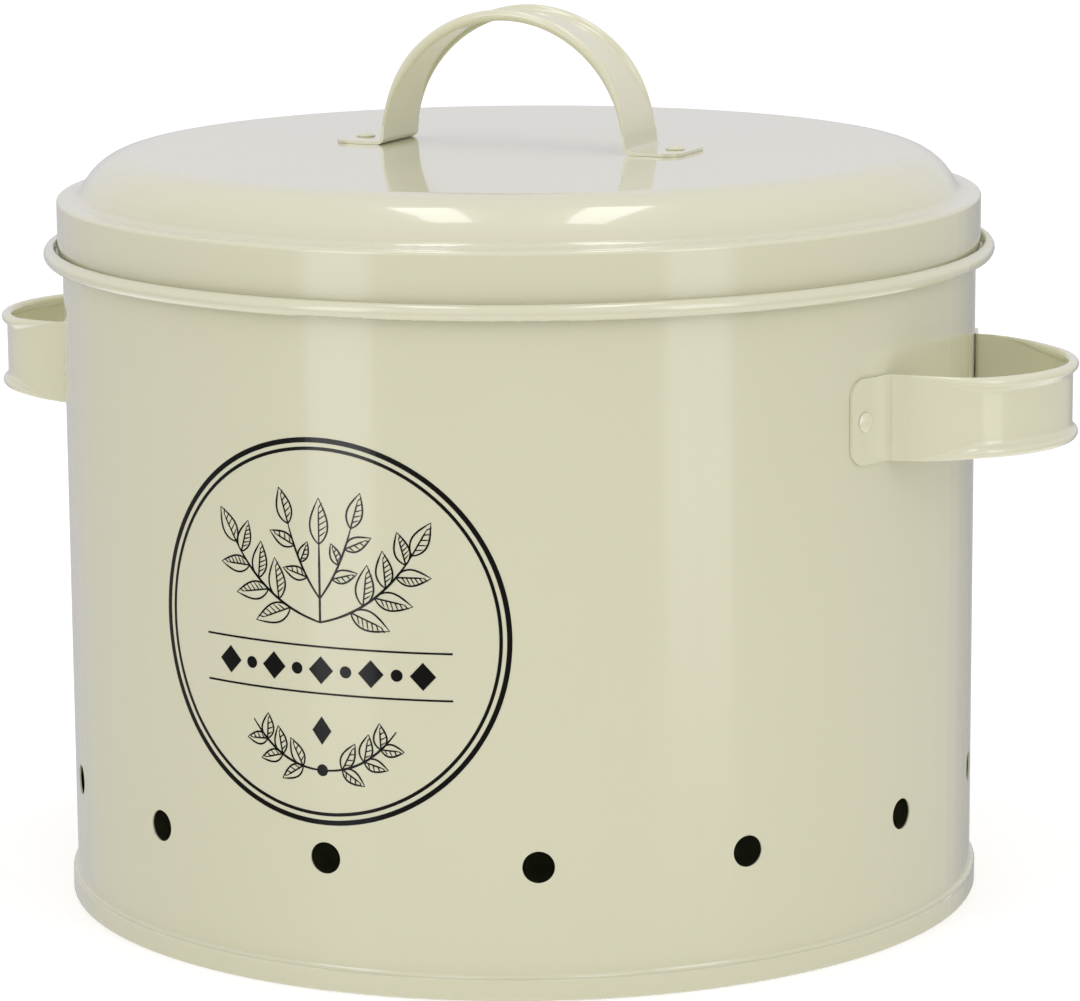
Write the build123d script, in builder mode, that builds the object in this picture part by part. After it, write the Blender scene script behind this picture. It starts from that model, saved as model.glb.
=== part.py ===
from build123d import *
import os
from math import acos, atan2, cos, degrees, radians, sin, sqrt, tan

# Potato storage bin: an enamelled sheet-steel drum with a double-seamed foot, a ring of vents,
# a curled rim, two fixed strap handles on its sides, and a lift-off lid with the same strap on top.
# Millimetres, +Z up. The origin is the centre of the foot, on the surface that the bin stands on.
# The front faces -Y, and the side handles stand on the X axis.

# ---- driving dimensions ----

# drum
wall_radius = 120.0          # outside of the wall
wall_sheet = 0.4             # steel of the wall
rim_height = 172.65          # crest of the curled rim above the ground
rim_bead = 4.15              # height of the curl, which is round on its outer side
rim_stand_out = 4.9          # how far the curl stands out from the wall
rim_crest_bend = 0.5         # tighter mid-line radius on the curl's inner side
rim_curl_end = 120.0         # degrees below the outermost point where the curled edge ends
seat_drop = 3.75             # from the rim's crest down to where the wall turns out as the lid's seat
seat_slope = 30.0            # degrees that the seat rises
seat_bend = 1.0              # mid-line radii of the seat's two bends
side_seam_width = 5.0        # folded seam up the back of the wall
side_seam_proud = 0.4        # how far that seam stands out
side_seam_margin = 1.0       # bare wall between the seam and the foot or the lid's seat

# vents
vent_count = 14
vent_diameter = 8.0
vent_height = 33.6           # centre line of the vents

# foot: the edge of the base and the edge of the wall hook into each other
base_sheet = 0.4             # steel of the base
seam_gap = 0.05              # enamel film between folded layers
foot_height = 5.5            # outside height of the double seam
foot_corner = 0.35           # outside radius of the seam's folds
hook_end_gap = 0.5           # room past the end of each hook
panel_height = 5.0           # top of the base panel's outer ring
panel_corner = 1.6           # mid-line radius where the panel leaves the seam
panel_step_radius = 98.0     # middle of the pressed step in the panel
panel_step_run = 3.0         # width of the step's slope
panel_step_rise = 1.2        # how much higher the middle of the panel lies
panel_step_bend = 2.0        # bend radii of the step

# strap of the three handles
strap_sheet = 0.8            # thickness of the strap
foot_width = 21.7            # width of the strap at its flat feet
rolled_width = 20.3          # width where both edges are rolled
roll_diameter = 2.9          # rolls along both edges of the strap
roll_lip = 0.65              # how far the rolls stand in from the strap
roll_neck = 2.0              # radius of the hollow between each roll and the outside of the strap
arch_radius = 35.0           # outside radius of the strap's half circle
fold_radius = 1.2            # inside radius of the fold between strap and foot
tab_length = 13.2            # foot, from the fold to its end
tab_corner = 4.5             # corner radius of the foot
flat_until = 8.5             # degrees of arc where the edges start to roll
rolled_from = 43.0           # degrees of arc where the rolls are full
fade_steps = 4               # spans of the stretch where the rolls grow
roll_start = 0.02            # share of the rolls' full size where they start
side_handle_drop = 35.5      # centre line of the side handles below the rim's crest
side_arch_inset = 4.2        # how far the arch's centre lies inside the wall
lid_arch_rise = 0.0          # height of the arch's centre over the lid

# rivets
shank_diameter = 3.0
shank_clearance = 0.05       # round the shank, and under the head and the tail
head_diameter = 5.0
head_height = 1.0
head_edge = 0.3              # thickness of the head's rim
tail_diameter = 4.6
tail_height = 0.7
tail_bevel = 0.35
rivet_from_fold = 8.3        # along the foot

# lid
lid_sheet = 0.6              # steel of the lid
lid_gap = 0.3                # between the lid's hem and its seat
skirt_stand_out = 1.2        # outside of the skirt beyond the wall
hem_height = 3.0             # folded edge of the skirt
hem_corner = 0.5             # outside radius of the fold
brim_height = 14.9           # hem to the corner of skirt and brim
brim_slope = 4.0             # degrees
shoulder_radius = 1.0        # between skirt and brim
brim_run = 5.1               # how far the brim reaches in from the skirt
riser_slope = 56.5           # degrees
riser_bend = 1.7             # radius of the hollow between brim and riser
riser_straight = 3.6         # straight slope between that hollow and the crown's curve
crown_height = 26.4          # hem to the flat top

# collar inside the lid
collar_sheet = 0.5
collar_top = 12.0            # above the hem
collar_step = 1.2            # level of the step above the hem
collar_bend = 0.6            # mid-line radii of the step
collar_depth = 7.9           # below the hem
collar_clearance = 0.6       # to the inside of the wall
lead_in_length = 2.6         # tapered end of the collar
lead_in = 0.7                # how far that end draws in

# ---- derived sizes ----

# radii of the foot's layers, from the inside out
wall_middle = wall_radius - wall_sheet / 2
chuck_middle = wall_radius - wall_sheet - seam_gap - base_sheet / 2
base_hook_middle = wall_radius + seam_gap + base_sheet / 2
wall_hook_middle = base_hook_middle + base_sheet / 2 + seam_gap + wall_sheet / 2
foot_middle = wall_hook_middle + wall_sheet / 2 + seam_gap + base_sheet / 2
wall_hook_bottom = base_sheet + seam_gap + wall_sheet / 2
wall_hook_end = foot_height - base_sheet - hook_end_gap
base_hook_top = foot_height - base_sheet / 2
base_hook_end = wall_hook_bottom + wall_sheet / 2 + hook_end_gap
panel_z = panel_height - base_sheet / 2

# curled rim, and the lid's seat under it
bead_middle = (rim_bead - wall_sheet) / 2
bead_x = wall_radius + rim_stand_out - rim_bead / 2
bead_z = rim_height - rim_bead / 2
crest_bend_z = bead_z + bead_middle - rim_crest_bend
rim_inner_x = bead_x - rim_crest_bend
seat_lean = radians(seat_slope)
seat_z = rim_height - seat_drop
seat_end_z = seat_z + (rim_inner_x - wall_middle) * tan(seat_lean)

# lid, whose hem stands on that seat
skirt_radius = wall_radius + skirt_stand_out
hem_corner_x = skirt_radius - hem_corner
seat_middle_z = seat_z + (hem_corner_x - wall_middle) * tan(seat_lean)
hem_bottom = seat_middle_z + (wall_sheet / 2 + lid_gap + hem_corner) / cos(seat_lean) - hem_corner
lid_top = hem_bottom + crown_height
brim_z = hem_bottom + brim_height
riser_radius = skirt_radius - brim_run
riser_z = brim_z + brim_run * tan(radians(brim_slope))
crown_x = riser_radius - (lid_top - riser_z) / tan(radians(riser_slope))

# the crown's curve takes what the hollow and the straight leave of the riser
riser_length = (lid_top - riser_z) / sin(radians(riser_slope))
riser_bend_reach = riser_bend * tan(radians(riser_slope - brim_slope) / 2)
crown_reach = riser_length - riser_bend_reach - riser_straight
crown_radius = crown_reach / tan(radians(riser_slope) / 2)

# strap
arch_middle = arch_radius - strap_sheet / 2
arch_inner = arch_radius - strap_sheet
fold_middle = fold_radius + strap_sheet / 2
hole_radius = shank_diameter / 2 + shank_clearance

# side handles: where the strap folds, as an angle at the drum's axis
side_handle_height = rim_height - side_handle_drop
side_tab_radius = wall_radius + seam_gap + strap_sheet / 2
side_arch_distance = wall_radius - side_arch_inset
fold_reach = side_tab_radius + fold_middle
arch_reach = arch_middle + fold_middle
side_fold = acos(
    (fold_reach**2 + side_arch_distance**2 - arch_reach**2) / (2 * fold_reach * side_arch_distance)
)
side_rivet = side_fold + rivet_from_fold / side_tab_radius

# lid handle: where the strap folds, as a distance from its middle
lid_tab_height = seam_gap + strap_sheet / 2
lid_fold = sqrt(arch_reach**2 - (lid_tab_height + fold_middle - lid_arch_rise) ** 2)
lid_rivet = lid_fold + rivet_from_fold


# ---- shared shapes ----

def strap_section(arch_z, angle, grown):
    """Section of the strap at an angle of its arch: a web with a round roll on each edge.

    grown is the share of their full size that the rolls have there.
    """
    outward = (cos(radians(angle)), 0, sin(radians(angle)))
    along = (-sin(radians(angle)), 0, cos(radians(angle)))
    half_sheet = strap_sheet / 2
    half_width = (foot_width + grown * (rolled_width - foot_width)) / 2
    roll = half_sheet + grown * (roll_diameter / 2 - half_sheet)
    roll_x = arch_inner - grown * roll_lip + roll
    roll_y = half_width - roll
    web_x = arch_inner + strap_sheet
    inner_neck = roll_y - sqrt(max(roll**2 - (roll_x - arch_inner) ** 2, 0))

    # hollow on the outside, tangent to the web and to the roll
    neck = grown * roll_neck
    neck_x = web_x + neck
    neck_y = roll_y - sqrt((roll + neck) ** 2 - (neck_x - roll_x) ** 2)
    turn = atan2(neck_y - roll_y, neck_x - roll_x)
    meet_x = roll_x + roll * cos(turn)
    meet_y = roll_y + roll * sin(turn)
    low_x = neck_x - neck * cos(turn / 2)
    low_y = neck_y - neck * sin(turn / 2)
    with BuildSketch(Plane((0, 0, arch_z), x_dir=outward, z_dir=along)) as section:
        with BuildLine():
            Line((arch_inner, -inner_neck), (arch_inner, inner_neck))
            ThreePointArc((arch_inner, inner_neck), (roll_x, half_width), (meet_x, meet_y))
            ThreePointArc((meet_x, meet_y), (low_x, low_y), (web_x, neck_y))
            Line((web_x, neck_y), (web_x, -neck_y))
            ThreePointArc((web_x, -neck_y), (low_x, -low_y), (meet_x, -meet_y))
            ThreePointArc((meet_x, -meet_y), (roll_x, -half_width), (arch_inner, -inner_neck))
        make_face()
    return section.sketch


def strap_handle(arch_z, tab, fold_x, fold_z, tab_angle, rivet_plane):
    """Strap bent to a half circle in the XZ plane, with two feet on a seat at z = 0.

    tab is the mid-line of the right foot, fold_x and fold_z are the centre of its fold,
    and tab_angle is the direction from there to the foot, in degrees.
    """
    arch_angle = degrees(atan2(fold_z - arch_z, fold_x))
    arch_axis = Axis((0, 0, arch_z), (0, -1, 0))
    with BuildPart() as strap:
        # right foot, its fold and the flat start of the arch
        with BuildSketch(Plane.XZ):
            with BuildLine():
                add(tab)
                CenterArc((fold_x, fold_z), fold_middle, tab_angle, 180 + arch_angle - tab_angle)
                CenterArc((0, arch_z), arch_middle, arch_angle, flat_until - arch_angle)
            trace(line_width=strap_sheet)
        extrude(amount=foot_width / 2, both=True)
        corners = strap.edges().group_by(SortBy.LENGTH)[0].group_by(Axis.X)[-1]
        fillet(corners, radius=tab_corner)
        with Locations(rivet_plane):
            Cylinder(hole_radius, 4 * strap_sheet, mode=Mode.SUBTRACT)

        # edges rolling up along the arch
        sections = []
        for step in range(fade_steps + 1):
            share = step / fade_steps
            angle = flat_until + share * (rolled_from - flat_until)
            ease = share * share * (3 - 2 * share)
            sections.append(strap_section(arch_z, angle, roll_start + ease * (1 - roll_start)))
        loft(sections)
        mirror(about=Plane.YZ)

        # rolled middle of the arch
        revolve(sections[-1], axis=arch_axis, revolution_arc=180 - 2 * rolled_from)
    return strap.part


def rivet(grip):
    """Round-head rivet along Z, its head seated at z = 0 and its tail closed under the grip."""
    head_base = shank_clearance
    head_top = head_base + head_height
    tail_base = -grip - shank_clearance
    tail_end = tail_base - tail_height
    with BuildPart() as piece:
        with BuildSketch(Plane.XZ):
            with BuildLine():
                Polyline(
                    (0, head_top),
                    (0, tail_end),
                    (tail_diameter / 2 - tail_bevel, tail_end),
                    (tail_diameter / 2, tail_end + tail_bevel),
                    (tail_diameter / 2, tail_base),
                    (shank_diameter / 2, tail_base),
                    (shank_diameter / 2, head_base),
                    (head_diameter / 2, head_base),
                    (head_diameter / 2, head_base + head_edge),
                )
                TangentArc((0, head_top), (head_diameter / 2, head_base + head_edge), tangent=(1, 0))
            make_face()
        revolve(axis=Axis.Z)
    return piece.part


def wall_plane(angle, radius):
    """Plane on the drum at an angle in radians from +X, at the height of the side handles."""
    outward = (cos(angle), sin(angle), 0)
    origin = (radius * cos(angle), radius * sin(angle), side_handle_height)
    return Plane(origin, x_dir=(-sin(angle), cos(angle), 0), z_dir=outward)


def write(piece, name):
    """Label a finished piece and write it under its name."""
    piece.part.label = name
    export_step(piece.part, f"parts/{name}.step")


os.makedirs("parts", exist_ok=True)


# ---- drum ----

with BuildPart() as body_wall:
    with BuildSketch(Plane.XZ):
        with BuildLine():
            Polyline(
                (wall_hook_middle, wall_hook_end),
                (wall_hook_middle, wall_hook_bottom),
                (wall_middle, wall_hook_bottom),
            )
            FilletPolyline(
                (wall_middle, wall_hook_bottom),
                (wall_middle, seat_z),
                (rim_inner_x, seat_end_z),
                (rim_inner_x, crest_bend_z),
                radius=seat_bend,
            )
            CenterArc((bead_x, crest_bend_z), rim_crest_bend, 180, -90)
            CenterArc((bead_x, bead_z), bead_middle, 90, -90 - rim_curl_end)
        trace(line_width=wall_sheet)
    revolve(axis=Axis.Z)

    # folded seam, midway between the two vents left of the back
    seam_angle = 90 + 180 / vent_count
    seam_half = degrees(side_seam_width / 2 / wall_radius)
    seam_bottom = foot_height + side_seam_margin
    seam_top = seat_z - seat_bend - side_seam_margin
    with BuildSketch(Plane.XY.offset(seam_bottom)):
        with BuildLine():
            outer = CenterArc((0, 0), wall_radius + side_seam_proud, seam_angle - seam_half, 2 * seam_half)
            inner = CenterArc((0, 0), wall_middle, seam_angle - seam_half, 2 * seam_half)
            Line(outer @ 0, inner @ 0)
            Line(outer @ 1, inner @ 1)
        make_face()
    extrude(amount=seam_top - seam_bottom)

    # vents, one of them in the middle of the front
    with Locations((0, 0, vent_height)):
        with PolarLocations(wall_radius, vent_count, start_angle=-90):
            Cylinder(vent_diameter / 2, 6 * wall_sheet, rotation=(0, 90, 0), mode=Mode.SUBTRACT)

    # rivet holes
    for side in (0, radians(180)):
        for turn in (-side_rivet, side_rivet):
            with Locations(wall_plane(side + turn, wall_radius)):
                Cylinder(hole_radius, 6 * wall_sheet, mode=Mode.SUBTRACT)
write(body_wall, "body_wall")

with BuildPart() as base_plate:
    with BuildSketch(Plane.XZ) as base_section:
        with BuildLine():
            Polyline(
                (base_hook_middle, base_hook_end),
                (base_hook_middle, base_hook_top),
                (foot_middle, base_hook_top),
                (foot_middle, base_sheet / 2),
                (chuck_middle, base_sheet / 2),
            )
            FilletPolyline(
                (chuck_middle, base_sheet / 2),
                (chuck_middle, panel_z),
                (panel_step_radius + panel_step_run / 2, panel_z),
                (panel_step_radius - panel_step_run / 2, panel_z + panel_step_rise),
                (0, panel_z + panel_step_rise),
                radius=[panel_corner, panel_step_bend, panel_step_bend],
            )
        trace(line_width=base_sheet)
        seam_corner = min(foot_corner, 0.9 * base_sheet)
        fillet(base_section.vertices().group_by(Axis.X)[-1], radius=seam_corner)
        fillet(base_section.vertices().group_by(Axis.Y)[0].sort_by(Axis.X)[0], radius=seam_corner)
    revolve(axis=Axis.Z)
write(base_plate, "base_plate")


# ---- side handles ----

# mid-line of the right foot, bent to the drum, whose axis lies below the seat
side_tab_sweep = degrees(tab_length / side_tab_radius)
with BuildLine() as side_tab:
    CenterArc((0, -wall_radius), side_tab_radius, 90 - degrees(side_fold) - side_tab_sweep, side_tab_sweep)

side_strap = strap_handle(
    arch_z=-side_arch_inset,
    tab=side_tab.line,
    fold_x=fold_reach * sin(side_fold),
    fold_z=fold_reach * cos(side_fold) - wall_radius,
    tab_angle=270 - degrees(side_fold),
    rivet_plane=Plane(
        (wall_radius * sin(side_rivet), 0, wall_radius * cos(side_rivet) - wall_radius),
        x_dir=(0, 1, 0),
        z_dir=(sin(side_rivet), 0, cos(side_rivet)),
    ),
)

with BuildPart() as side_handle_right:
    seat = Plane((wall_radius, 0, side_handle_height), x_dir=(0, 1, 0), z_dir=(1, 0, 0))
    with Locations(seat):
        add(side_strap)
write(side_handle_right, "side_handle_right")

with BuildPart() as side_handle_left:
    seat = Plane((-wall_radius, 0, side_handle_height), x_dir=(0, -1, 0), z_dir=(-1, 0, 0))
    with Locations(seat):
        add(side_strap)
write(side_handle_left, "side_handle_left")

side_rivet_piece = rivet(grip=wall_sheet + seam_gap + strap_sheet)
side_rivet_seat = wall_radius + seam_gap + strap_sheet
side_rivets = {
    "right_front_rivet": -side_rivet,
    "right_rear_rivet": side_rivet,
    "left_front_rivet": radians(180) + side_rivet,
    "left_rear_rivet": radians(180) - side_rivet,
}
for rivet_name, rivet_angle in side_rivets.items():
    with BuildPart() as side_rivet_node:
        with Locations(wall_plane(rivet_angle, side_rivet_seat)):
            add(side_rivet_piece)
    write(side_rivet_node, rivet_name)


# ---- lid ----

with BuildPart() as lid_shell:
    shell_bottom = hem_bottom + lid_sheet
    with BuildSketch(Plane.XZ):
        with BuildLine():
            outline = FilletPolyline(
                (skirt_radius, shell_bottom),
                (skirt_radius, brim_z),
                (riser_radius, riser_z),
                (crown_x, lid_top),
                (0, lid_top),
                radius=[shoulder_radius, riser_bend, crown_radius],
            )
            Line(outline @ 1, (0, shell_bottom))
            Line((0, shell_bottom), outline @ 0)
        make_face()
    revolve(axis=Axis.Z)
    offset(amount=-lid_sheet, openings=lid_shell.faces().sort_by(Axis.Z)[0])

    # folded hem
    with BuildSketch(Plane.XZ) as hem:
        with Locations((skirt_radius, hem_bottom)):
            Rectangle(2 * lid_sheet, hem_height, align=(Align.MAX, Align.MIN))
        fillet(hem.vertices().group_by(Axis.Y)[0], radius=hem_corner)
    revolve(axis=Axis.Z)

    # rivet holes
    with Locations((-lid_rivet, 0, lid_top), (lid_rivet, 0, lid_top)):
        Cylinder(hole_radius, 4 * lid_sheet, mode=Mode.SUBTRACT)
write(lid_shell, "lid_shell")

with BuildPart() as lid_collar:
    collar_outer = skirt_radius - 2 * lid_sheet - seam_gap - collar_sheet / 2
    plug_middle = wall_radius - wall_sheet - collar_clearance - collar_sheet / 2
    collar_bottom = hem_bottom - collar_depth
    with BuildSketch(Plane.XZ):
        with BuildLine():
            FilletPolyline(
                (collar_outer, hem_bottom + collar_top),
                (collar_outer, hem_bottom + collar_step),
                (plug_middle, hem_bottom),
                (plug_middle, collar_bottom + lead_in_length),
                (plug_middle - lead_in, collar_bottom),
                radius=[collar_bend, collar_bend, collar_bend],
            )
        trace(line_width=collar_sheet)
    revolve(axis=Axis.Z)
write(lid_collar, "lid_collar")


# ---- lid handle ----

# mid-line of the right foot, flat on the lid
with BuildLine() as lid_tab:
    Line((lid_fold + tab_length, lid_tab_height), (lid_fold, lid_tab_height))

lid_strap = strap_handle(
    arch_z=lid_arch_rise,
    tab=lid_tab.line,
    fold_x=lid_fold,
    fold_z=lid_tab_height + fold_middle,
    tab_angle=270,
    rivet_plane=Plane((lid_rivet, 0, 0)),
)

with BuildPart() as lid_handle:
    with Locations((0, 0, lid_top)):
        add(lid_strap)
write(lid_handle, "lid_handle")

lid_rivet_piece = rivet(grip=lid_sheet + seam_gap + strap_sheet)
lid_rivet_seat = lid_top + seam_gap + strap_sheet
for rivet_name, rivet_x in {"lid_right_rivet": lid_rivet, "lid_left_rivet": -lid_rivet}.items():
    with BuildPart() as lid_rivet_node:
        with Locations((rivet_x, 0, lid_rivet_seat)):
            add(lid_rivet_piece)
    write(lid_rivet_node, rivet_name)
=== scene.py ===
from math import atan2, cos, pi, radians, sin, tan

import bpy
from mathutils import Matrix, Vector


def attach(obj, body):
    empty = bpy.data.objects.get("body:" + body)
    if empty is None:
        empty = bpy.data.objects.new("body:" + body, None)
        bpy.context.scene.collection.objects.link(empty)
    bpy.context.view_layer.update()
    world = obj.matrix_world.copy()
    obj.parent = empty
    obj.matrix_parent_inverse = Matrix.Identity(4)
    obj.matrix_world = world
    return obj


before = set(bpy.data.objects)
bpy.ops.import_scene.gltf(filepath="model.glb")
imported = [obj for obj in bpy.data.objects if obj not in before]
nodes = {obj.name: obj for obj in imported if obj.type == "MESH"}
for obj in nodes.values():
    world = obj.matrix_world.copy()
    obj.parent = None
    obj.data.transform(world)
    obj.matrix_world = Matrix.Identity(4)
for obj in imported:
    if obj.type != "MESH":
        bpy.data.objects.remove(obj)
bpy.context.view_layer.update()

MM = 0.001
WALL = 120.0 * MM              # outer radius of the drum's wall
BARE = WALL - 0.25 * MM        # inside the wall's sheet; within it the steel has only its ground coat
VIEW_TURN = radians(23.8)      # the photograph's side of the front, where lamps and surround turn to


# ---------------------------------------------------------------- materials

CREAM = (0.677, 0.670, 0.481)
# painted light: the handles' cream is the drum's cream made 3.5 % lighter, a lit copy that stands in for
# more light falling on the handles
HANDLE_CREAM_PAINTED_LIGHTER = [1.035 * c for c in CREAM]
INK_BLACK = (0.0042, 0.0036, 0.0026, 1.0)
GLOSS, MATT = 0.22, 0.75       # roughness under the clear top, and of the bare ground coat
COAT_ROUGH, GLASS_IOR = 0.05, 1.5
TONE = 0.008                   # share by which the paint's shade wanders, lighter or darker
MOTTLE = (9.0, 2.0, 0.5)       # noise of that shade: waves per metre, detail, roughness
MOTTLE_RANGE = (0.3, 0.7)      # the noise's values that give the darkest and the lightest shade
SKIN = (420.0, 1.0, 0.4)       # noise of the sprayed paint's skin
SHEET = (16.0, 1.0, 0.3)       # noise of the sheet under it
SKIN_DEPTH, SHEET_DEPTH = 0.02 * MM, 0.06 * MM
PEEL, HANDLE_PEEL, SHEET_WAVES = 0.055, 0.04, 0.35     # strength of the skin's and the sheet's relief
STEP = 0.1 * MM                # half the width of the step from matt to gloss


class Graph:
    """A node tree with short calls."""

    def __init__(self, tree):
        tree.nodes.clear()
        self.tree = tree

    def add(self, kind, **values):
        """A node; keys are properties, or sockets where they start with i_ (name) or n_ (number)."""
        node = self.tree.nodes.new(kind)
        for key, value in values.items():
            if key.startswith("i_"):
                self.put(node.inputs[key[2:].replace("_", " ")], value)
            elif key.startswith("n_"):
                self.put(node.inputs[int(key[2:])], value)
            else:
                setattr(node, key, value)
        return node

    def put(self, socket, value):
        """Link a socket to another one, or set its value."""
        if isinstance(value, bpy.types.NodeSocket):
            self.tree.links.new(value, socket)
        else:
            socket.default_value = value

    def math(self, operation, a, b=0.0):
        return self.add("ShaderNodeMath", operation=operation, n_0=a, n_1=b).outputs[0]

    def ramp(self, value, start, stop, low, high, kind="SMOOTHSTEP"):
        """Goes from low to high while the value goes from start to stop."""
        node = self.add("ShaderNodeMapRange", interpolation_type=kind, i_Value=value)
        for name, v in (("From Min", start), ("From Max", stop), ("To Min", low), ("To Max", high)):
            self.put(node.inputs[name], v)
        return node.outputs[0]

    def noise(self, vector, scale, detail, rough):
        return self.add("ShaderNodeTexNoise", i_Vector=vector, i_Scale=scale, i_Detail=detail,
                        i_Roughness=rough).outputs["Fac"]


def enamel(name, color, peel=PEEL, bare=None):
    """Gloss stove enamel: a clear top over a pigmented ground, with the faint skin of sprayed paint.

    Within the radius bare, the inside of the drum, there is only the matt ground coat.
    """
    mat = bpy.data.materials.new(name)
    mat.use_nodes = True
    g = Graph(mat.node_tree)
    place = g.add("ShaderNodeTexCoord").outputs["Object"]
    shade = g.add("ShaderNodeMix", data_type="RGBA")
    g.put(shade.inputs[0], g.ramp(g.noise(place, *MOTTLE), *MOTTLE_RANGE, 0.0, 1.0))
    g.put(shade.inputs[6], (*[c * (1 - TONE) for c in color], 1.0))
    g.put(shade.inputs[7], (*[c * (1 + TONE) for c in color], 1.0))
    waves = g.add("ShaderNodeBump", i_Strength=SHEET_WAVES, i_Distance=SHEET_DEPTH,
                  i_Height=g.noise(place, *SHEET))
    relief = g.add("ShaderNodeBump", i_Strength=peel, i_Distance=SKIN_DEPTH,
                   i_Height=g.noise(place, *SKIN), i_Normal=waves.outputs[0]).outputs[0]
    shader = g.add("ShaderNodeBsdfPrincipled", i_Base_Color=shade.outputs[2], i_Roughness=GLOSS,
                   i_IOR=GLASS_IOR, i_Normal=relief, i_Coat_Weight=1.0, i_Coat_Roughness=COAT_ROUGH,
                   i_Coat_IOR=GLASS_IOR, i_Coat_Normal=relief)
    if bare:
        flat = g.add("ShaderNodeVectorMath", operation="MULTIPLY", n_0=place, n_1=(1.0, 1.0, 0.0))
        radius = g.add("ShaderNodeVectorMath", operation="LENGTH", n_0=flat.outputs[0]).outputs["Value"]
        for socket, inside, outside in (("Coat Weight", 0.0, 1.0), ("Roughness", MATT, GLOSS)):
            step = g.ramp(radius, bare - STEP, bare + STEP, inside, outside, "LINEAR")
            g.put(shader.inputs[socket], step)
    g.add("ShaderNodeOutputMaterial", i_Surface=shader.outputs[0])
    return mat


body_enamel = enamel("drum_enamel_gloss", CREAM, bare=BARE)
lid_enamel = enamel("lid_enamel_gloss", CREAM)
# painted light: the handles and the rivets get the lighter cream, a lit copy of the drum's enamel
handle_enamel_painted_lighter = enamel("handle_enamel_gloss", HANDLE_CREAM_PAINTED_LIGHTER, HANDLE_PEEL)

ink = bpy.data.materials.new("printed_ink")
ink.use_nodes = True
ink_shader = ink.node_tree.nodes["Principled BSDF"]
ink_shader.inputs["Base Color"].default_value = INK_BLACK
ink_shader.inputs["Roughness"].default_value = GLOSS
ink_shader.inputs["Coat Weight"].default_value = 1.0
ink_shader.inputs["Coat Roughness"].default_value = COAT_ROUGH

# the handles and the rivets have the enamel that isn't named here, the lighter cream of painted light
FINISH = {"body_wall": body_enamel, "base_plate": body_enamel, "lid_shell": lid_enamel,
          "lid_collar": lid_enamel}
for name, node in nodes.items():
    node.data.materials.clear()
    node.data.materials.append(FINISH.get(name, handle_enamel_painted_lighter))


# ---------------------------------------------------------------- enamel pooled in the hollows

POOL_TURNS = 288               # facets round the axis
POOL_LIFT = 0.012              # mm that the hollow stands out of the two surfaces
POOL_DEPTH = 0.12              # mm that the ring's hidden side reaches into the metal
POOL_LEAN = 0.3                # share of the outer surface's slope that its hidden corner follows


def pooled(name, corner, slopes, radius, mat, body, steps):
    """A closed ring round the axis that fills the corner between two surfaces with a round hollow.

    corner is where the two profile lines meet, as radius and height in mm; slopes are the angles
    of the two surfaces, the outer one first, and the hollow is tangent to both.
    """
    low, high = map(radians, slopes)
    reach = radius * tan((high - low) / 2)
    centre_r = corner[0] + reach * cos(low) + radius * sin(low)
    centre_z = corner[1] - reach * sin(low) + radius * cos(low)
    ring = []
    for k in range(steps + 1):
        slope = low + (high - low) * k / steps
        ring.append((centre_r - (radius - POOL_LIFT) * sin(slope),
                     centre_z - (radius - POOL_LIFT) * cos(slope)))
    first, last = ring[0], ring[-1]
    # the hidden side: under the inner edge, under the corner and under the outer edge
    ring.append((last[0] - POOL_DEPTH * sin(high), last[1] - POOL_DEPTH * cos(high)))
    ring.append((corner[0] - POOL_DEPTH * (sin(high) + POOL_LEAN * sin(low)), corner[1] - POOL_DEPTH))
    ring.append((first[0] - POOL_DEPTH * sin(low), first[1] - POOL_DEPTH * cos(low)))
    count = len(ring)
    points, faces = [], []
    for j in range(POOL_TURNS):
        a = 2 * pi * j / POOL_TURNS
        points += [(r * MM * cos(a), r * MM * sin(a), z * MM) for r, z in ring]
        p, q = j * count, (j + 1) % POOL_TURNS * count
        faces += [(p + k, q + k, q + (k + 1) % count, p + (k + 1) % count) for k in range(count)]
    mesh = bpy.data.meshes.new(name)
    mesh.from_pydata(points, [], faces)
    mesh.validate()
    mesh.polygons.foreach_set("use_smooth", [k < steps for j in range(POOL_TURNS) for k in range(count)])
    mesh.materials.append(mat)
    obj = bpy.data.objects.new(name, mesh)
    bpy.context.scene.collection.objects.link(obj)
    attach(obj, body)


# between the lid's brim and its riser
pooled("lid_hollow_enamel", corner=(116.1, 185.327), slopes=(4.0, 56.5), radius=3.0,
       mat=lid_enamel, body="lid", steps=20)
# between the foot's seam and the wall
pooled("foot_hollow_enamel", corner=(120.0, 5.5), slopes=(0.0, 90.0), radius=0.95,
       mat=body_enamel, body="root", steps=12)


# ---------------------------------------------------------------- the printed medallion

# All of the print is drawn in mm from the medallion's centre, s along the wall and t upwards.
PRINT_S, PRINT_Z = -0.4, 90.3      # its centre: along the wall from the front, and above the ground
INK_OUT, INK_IN = 0.035, 0.04      # mm that the ink stands out of the wall, and reaches into it
RING_STEPS, RULE_STEPS, BLOB_STEPS, LEAF_STEPS = 192, 40, 20, 18
TAPER = 0.25                       # share of a line in which its end gets thinner
BLOB_TIP, BLOB_END = 0.01, 0.999   # least share of a blob's height, and the share of its length kept

RINGS = ((47.7, 1.28), (45.6, 0.86))               # radius and width
RULES, RULE_HALF, RULE_PEN = (-3.5, -15.2), 33.8, 0.5
ROW_T, ROW_PITCH, ROW_SIDE = sum(RULES) / 2, 6.6, 4    # marks between the rules, four on each side
DOT = {"half_s": 1.5, "half_t": 1.5}
LOZENGE = {"half_s": 3.3, "half_t": 3.5, "power": 1.0}
PENDANT = {"half_s": 2.6, "half_t": 3.6, "power": 1.0}

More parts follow.
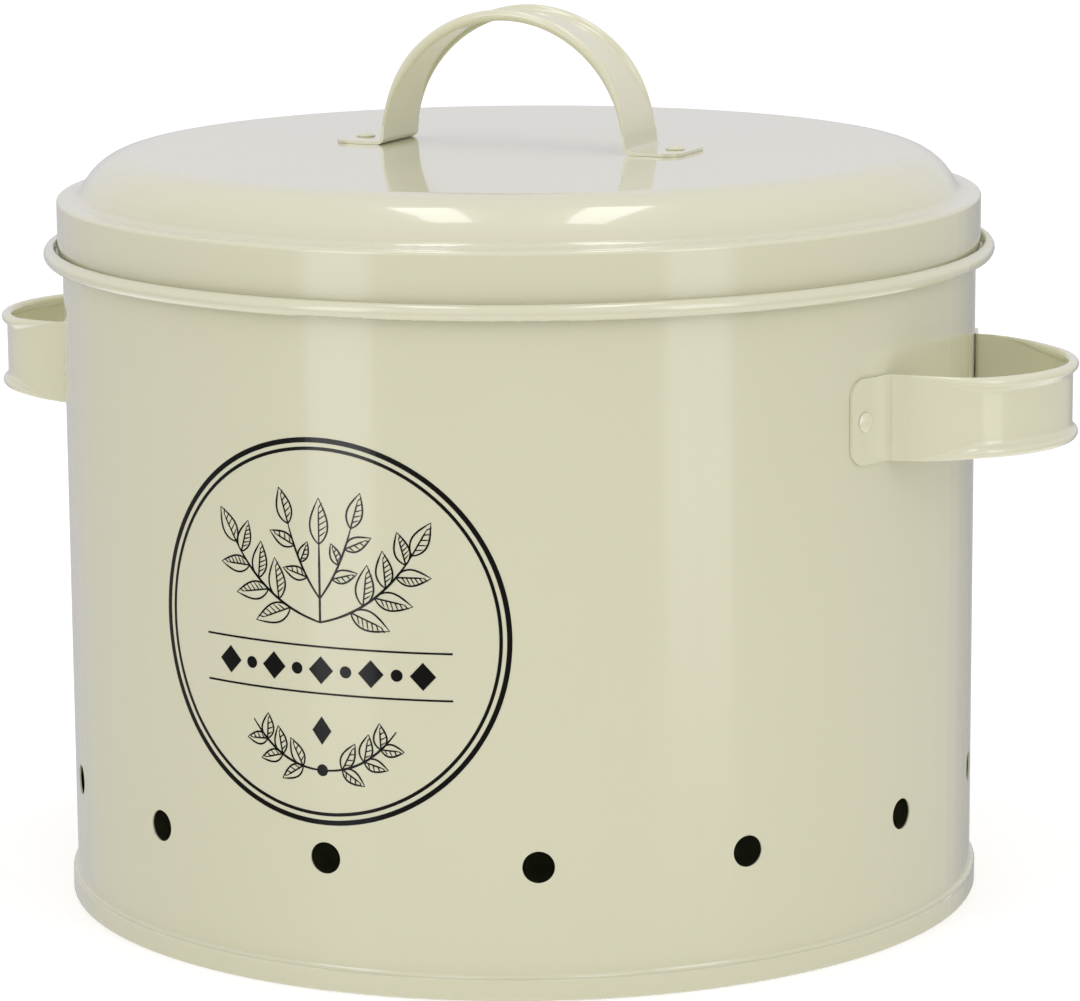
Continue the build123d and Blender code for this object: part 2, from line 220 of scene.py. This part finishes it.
LEAF_SKEW, LEAF_SLIM = 0.8, 0.18   # a leaf is widest nearer its root, and slimmer to its tip
MIDRIB = (0, 0.2, 0.4, 0.6, 0.8)   # shares of the leaf's length
VEIN_FROM, VEIN_SPAN = 0.16, 0.62  # where the veins start on the midrib
VEIN_LEAN, VEIN_LEAD, VEIN_REACH = 0.12, 0.05, 0.86    # how far they lean, and how near the edge they end
# pens: the line's width, and the shares of it at the start and the end
LEAF_PEN, MIDRIB_PEN, VEIN_PEN = (0.46, (0.8, 0.3)), (0.4, (1, 0.3)), (0.3, (1, 0.5))
LONG_PEN, SHORT_PEN, GARLAND_PEN = (0.62, (0.8, 0.5)), (0.56, (0.8, 0.5)), (0.6, (0.8, 0.5))
MIDDLE_PEN = (0.6, (1, 0.6))


class Print:
    """Closed thin shapes, drawn flat and laid round the drum."""

    def __init__(self):
        self.points, self.faces = [], []

    def at(self, s, t, lift):
        """A new point, lifted off the wall; gives its number."""
        angle = (PRINT_S + s) * MM / WALL
        r = WALL + lift * MM
        self.points.append((r * sin(angle), -r * cos(angle), (PRINT_Z + t) * MM))
        return len(self.points) - 1

    def band(self, left, right, closed=False):
        """A strip between two edges of equal count."""
        rows = [[self.at(*a, INK_OUT), self.at(*b, INK_OUT), self.at(*b, -INK_IN), self.at(*a, -INK_IN)]
                for a, b in zip(left, right)]
        following = rows[1:] + rows[:1] if closed else rows[1:]
        for p, q in zip(rows, following):
            for k in range(4):
                m = (k + 1) % 4
                self.faces.append((p[k], p[m], q[m], q[k]))
        if not closed:
            self.faces.append(tuple(reversed(rows[0])))
            self.faces.append(tuple(rows[-1]))

    def stroke(self, path, width, ends=(1.0, 1.0)):
        """A pen line along a path; ends are the shares of its width at the start and the end."""
        path = [Vector(p) for p in path]
        left, right = [], []
        count = len(path) - 1
        for i, p in enumerate(path):
            d = (path[min(i + 1, count)] - path[max(i - 1, 0)]).normalized()
            u = i / count
            at_start = ends[0] + (1 - ends[0]) * min(1.0, u / TAPER)
            at_end = ends[1] + (1 - ends[1]) * min(1.0, (1 - u) / TAPER)
            side = Vector((-d.y, d.x)) * (width / 2 * min(1.0, at_start, at_end))
            left.append(tuple(p + side))
            right.append(tuple(p - side))
        self.band(left, right)

    def ring(self, radius, width):
        turns = [2 * pi * k / RING_STEPS for k in range(RING_STEPS)]
        edges = [[(r * cos(a), r * sin(a)) for a in turns] for r in (radius + width / 2, radius - width / 2)]
        self.band(*edges, closed=True)

    def blob(self, s, t, half_s, half_t, power=2.0):
        """A filled dot, or a lozenge where power is 1."""
        top, low = [], []
        for k in range(BLOB_STEPS + 1):
            u = -cos(pi * k / BLOB_STEPS)
            h = max(BLOB_TIP, max(0.0, 1 - abs(u) ** power) ** (1 / power))
            for edge, sign in ((top, 1), (low, -1)):
                edge.append((s + u * half_s * BLOB_END, t + sign * h * half_t))
        self.band(top, low)

    def build(self, name):
        mesh = bpy.data.meshes.new(name)
        mesh.from_pydata(self.points, [], self.faces)
        mesh.materials.append(ink)
        mesh.validate()
        obj = bpy.data.objects.new(name, mesh)
        bpy.context.scene.collection.objects.link(obj)
        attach(obj, "root")


def curve(start, mid, end, steps):
    """Points of a bowed line, drawn from start to end by a control point."""
    a, b, c = Vector(start), Vector(mid), Vector(end)
    return [tuple((1 - u) ** 2 * a + 2 * u * (1 - u) * b + u * u * c)
            for u in (k / steps for k in range(steps + 1))]


def belly(u):
    """Half the width of a leaf at a share of its length, before its tip is made slimmer."""
    return sin(pi * u ** LEAF_SKEW)


def leaf(art, root, angle, length, width, veins):
    """An outlined leaf with its midrib and a few hatched veins on one side."""
    along, side = Vector((cos(angle), sin(angle))), Vector((-sin(angle), cos(angle)))
    root = Vector(root)
    for sign in (1, -1):
        edge = []
        for k in range(LEAF_STEPS + 1):
            u = k / LEAF_STEPS
            bulge = belly(u) * (1 - LEAF_SLIM * u)
            edge.append(tuple(root + along * (length * u) + side * (sign * width / 2 * bulge)))
        art.stroke(edge, *LEAF_PEN)
    art.stroke([tuple(root + along * (length * u)) for u in MIDRIB], *MIDRIB_PEN)
    for k in range(veins):
        u = VEIN_FROM + VEIN_SPAN * k / (veins - 1)
        reach = width / 2 * belly(u + VEIN_LEAD) * VEIN_REACH
        a = root + along * (length * u)
        b = root + along * (length * (u + VEIN_LEAN)) - side * reach
        art.stroke([tuple(a), tuple((a + b) / 2), tuple(b)], *VEIN_PEN)


def twig(art, stem, pen, leaves, spread, veins):
    """A stem with leaves to its sides in turn, the first one to the side of the spread's sign.

    leaves are tuples of the share of the stem at which one stands, its length and its width; spread
    is the angle in degrees between stem and leaf.
    """
    art.stroke(stem, *pen)
    for k, (share, length, width) in enumerate(leaves):
        i = int(share * (len(stem) - 1))
        root, ahead = Vector(stem[i]), Vector(stem[i + 1])
        way = atan2(ahead.y - root.y, ahead.x - root.x)
        leaf(art, root, way + (-1) ** k * radians(spread), length, width, veins)


border = Print()
for radius, width in RINGS:
    border.ring(radius, width)
border.build("print_border")

rules = Print()
for t in RULES:
    rules.stroke([(-RULE_HALF + 2 * RULE_HALF * k / RULE_STEPS, t) for k in range(RULE_STEPS + 1)], RULE_PEN)
rules.build("print_rules")

row = Print()
for k in range(-ROW_SIDE, ROW_SIDE + 1):
    row.blob(k * ROW_PITCH, ROW_T, **(DOT if k % 2 else LOZENGE))
row.build("print_row")

# leaves of a twig: the share of the stem at which each stands, its length and its width
LONG_TWIG = [(share, 10.8 - 0.5 * k, 5.2 - 0.2 * k)
             for k, share in enumerate((0.3, 0.44, 0.57, 0.7, 0.82, 0.92))]
SHORT_TWIG = [(0.36, 7.0, 3.5), (0.56, 5.6, 2.9), (0.78, 7.6, 3.7)]

sprig = Print()
for side in (1, -1):
    stem = curve((0, 2.6), (side * 15, 6.2), (side * 24, 20.5), 24)
    twig(sprig, stem, LONG_PEN, LONG_TWIG, spread=-side * 50, veins=6)
    leaf(sprig, stem[-1], radians(90 - side * 30), length=9.6, width=4.6, veins=5)
    stem = curve((0, 8.5), (side * 5.5, 15.5), (side * 8.5, 26.5), 24)
    twig(sprig, stem, SHORT_PEN, SHORT_TWIG, spread=-side * 46, veins=4)
    leaf(sprig, stem[-1], radians(90 - side * 16), length=9.2, width=4.4, veins=5)
sprig.stroke(curve((0, 2.4), (0, 12), (0, 22.0), 12), *MIDDLE_PEN)
leaf(sprig, (0, 22.0), radians(90), length=11.5, width=5.2, veins=6)
sprig.build("print_sprig")

PAIRS = [(share, length - 0.5 * k, width) for k, share in enumerate((0.22, 0.5, 0.78))
         for length, width in ((7.6, 3.7), (7.0, 3.4))]

garland = Print()
for side in (1, -1):
    stem = curve((side * 1.2, -34.5), (side * 12, -34), (side * 19.5, -23.5), 20)
    twig(garland, stem, GARLAND_PEN, PAIRS, spread=side * 48, veins=4)
garland.blob(0, -34.5, **DOT)
garland.blob(0, -24.5, **PENDANT)
garland.build("print_garland")


# ---------------------------------------------------------------- studio

LIGHT = (1.006, 0.985, 1.02)       # tint of every light
WHITE = (1.0, 1.0, 1.0, 1.0)

FLOOR_HALF, FLOOR_Z = 8.0, -0.1 * MM
FLOOR_PAINT = (0.84, 0.84, 0.83, 1.0)
FLOOR_SHOWN, FLOOR_CAST = 0.35, 0.32   # light of its own, to the camera and to what it lights

floor_mesh = bpy.data.meshes.new("floor")
floor_mesh.from_pydata([(x * FLOOR_HALF, y * FLOOR_HALF, FLOOR_Z)
                        for x, y in ((-1, -1), (1, -1), (1, 1), (-1, 1))], [], [(0, 1, 2, 3)])
floor = bpy.data.objects.new("floor", floor_mesh)
bpy.context.scene.collection.objects.link(floor)
floor.visible_glossy = False

floor_mat = bpy.data.materials.new("pale_floor")
floor_mat.use_nodes = True
g = Graph(floor_mat.node_tree)
path = g.add("ShaderNodeLightPath").outputs
shown = g.math("MULTIPLY", path["Is Camera Ray"], FLOOR_SHOWN)
cast = g.math("MULTIPLY", path["Is Diffuse Ray"], FLOOR_CAST)
lift = g.add("ShaderNodeEmission", i_Color=WHITE, i_Strength=g.math("ADD", shown, cast))
ground = g.add("ShaderNodeBsdfDiffuse", i_Color=FLOOR_PAINT)
both = g.add("ShaderNodeAddShader", n_0=ground.outputs[0], n_1=lift.outputs[0])
g.add("ShaderNodeOutputMaterial", i_Surface=both.outputs[0])
floor_mesh.materials.append(floor_mat)

# The surround by direction: azimuths in degrees from the camera's side, right of the view positive,
# and heights as the sine of the angle above level. Pairs are the start and the end of a change, but
# STRIPS are two directions.
BACK_TURN, BACK_LEVEL = (60.0, 165.0), (0.05, 0.55)    # dark round the camera, pale behind the object
CORNER, CORNER_HALF, CORNER_DIM = 156.0, (4.0, 22.0), -0.15    # a darker corner behind the right edge
UPPER_HEIGHT, UPPER_LEVEL = (-0.12, 0.12), 0.72        # an even pale wall above level
CEILING_HEIGHT, CEILING_LEVEL = (0.45, 0.95), 0.07     # a little more light overhead
FLOOR_HEIGHT, FLOOR_LEVEL = (-0.6, -0.36), 0.7         # for the floor, which reflections don't show
STRIPS, STRIP_HALF = (-44.8, 44.3), (6.5, 10.5)        # upright softboxes, and half their width
STRIP_FOOT, STRIP_HEAD = (-0.275, -0.17), (0.55, 0.8)
STRIP_UPPER, STRIP_GAIN = (-0.05, 0.1), 2.0            # their upper part is so many times as bright

world = bpy.data.worlds.new("studio")
bpy.context.scene.world = world
world.use_nodes = True
g = Graph(world.node_tree)
way = g.add("ShaderNodeVectorRotate", rotation_type="Z_AXIS", i_Angle=-VIEW_TURN,
            i_Vector=g.add("ShaderNodeTexCoord").outputs["Generated"])
x, y, height = g.add("ShaderNodeSeparateXYZ", n_0=way.outputs[0]).outputs
azimuth = g.math("MULTIPLY", g.math("ARCTAN2", x, g.math("MULTIPLY", y, -1.0)), 180 / pi)


def beside(centre):
    """Degrees between a direction's azimuth and another one."""
    return g.math("ABSOLUTE", g.math("SUBTRACT", azimuth, centre))


def strip(centre):
    """An upright softbox: a bright band of the surround."""
    across = g.ramp(beside(centre), *STRIP_HALF, 1.0, 0.0)
    foot = g.ramp(height, *STRIP_FOOT, 0.0, 1.0)
    head = g.ramp(height, *STRIP_HEAD, 1.0, 0.0)
    upper = g.ramp(height, *STRIP_UPPER, 1.0, STRIP_GAIN)
    return g.math("MULTIPLY", across, g.math("MULTIPLY", foot, g.math("MULTIPLY", head, upper)))


back = g.ramp(beside(0.0), *BACK_TURN, *BACK_LEVEL)
back = g.math("ADD", back, g.ramp(beside(CORNER), *CORNER_HALF, CORNER_DIM, 0.0))
lifted = g.ramp(height, *UPPER_HEIGHT, 0.0, 1.0)
room = g.math("ADD", back, g.math("MULTIPLY", g.math("SUBTRACT", UPPER_LEVEL, back), lifted))
room = g.math("ADD", room, g.ramp(height, *CEILING_HEIGHT, 0.0, CEILING_LEVEL))
room = g.math("ADD", room, g.ramp(height, *FLOOR_HEIGHT, FLOOR_LEVEL, 0.0))
for centre in STRIPS:
    room = g.math("ADD", room, strip(centre))

surround = g.add("ShaderNodeBackground", i_Color=(*LIGHT, 1.0), i_Strength=room)
white = g.add("ShaderNodeBackground", i_Color=WHITE, i_Strength=1.0)
seen = g.add("ShaderNodeMixShader", n_0=g.add("ShaderNodeLightPath").outputs["Is Camera Ray"],
             n_1=surround.outputs[0], n_2=white.outputs[0])
g.add("ShaderNodeOutputWorld", i_Surface=seen.outputs[0])

LAMP_Z, LAMP_RADIANCE = 1.2, 3.5


def overhead(name, x, y, size_x, size_y):
    """An area lamp that looks straight down; x and y are across and along the view."""
    lamp = bpy.data.lights.new(name, "AREA")
    lamp.shape = "RECTANGLE"
    lamp.size, lamp.size_y = size_x, size_y
    lamp.energy = LAMP_RADIANCE * pi * size_x * size_y
    lamp.color = LIGHT
    obj = bpy.data.objects.new(name, lamp)
    obj.matrix_world = Matrix.Rotation(VIEW_TURN, 4, "Z") @ Matrix.Translation((x, y, LAMP_Z))
    bpy.context.scene.collection.objects.link(obj)
    obj.visible_camera = False


overhead("overhead_left", x=-0.213, y=-0.045, size_x=0.145, size_y=0.61)
overhead("overhead_right", x=0.224, y=-0.085, size_x=0.15, size_y=0.65)

# the camera that took the photograph: its place in metres, and its angles in degrees
CAMERA_AT = (0.48746, -1.09322, 0.33335)
CAMERA_TURN, CAMERA_DIP, CAMERA_ROLL = 23.793, 10.962, -0.413

camera = bpy.data.objects.new("camera", bpy.data.cameras.new("camera"))
camera.data.lens = 152.35
camera.data.sensor_width = 36.0
camera.data.clip_start = 0.01
camera.matrix_world = (Matrix.Translation(CAMERA_AT)
                       @ Matrix.Rotation(radians(CAMERA_TURN), 4, "Z")
                       @ Matrix.Rotation(radians(90 - CAMERA_DIP), 4, "X")
                       @ Matrix.Rotation(radians(CAMERA_ROLL), 4, "Z"))
bpy.context.scene.collection.objects.link(camera)
bpy.context.scene.camera = camera
bpy.context.scene.view_settings.view_transform = "Standard"

bpy.context.view_layer.update()
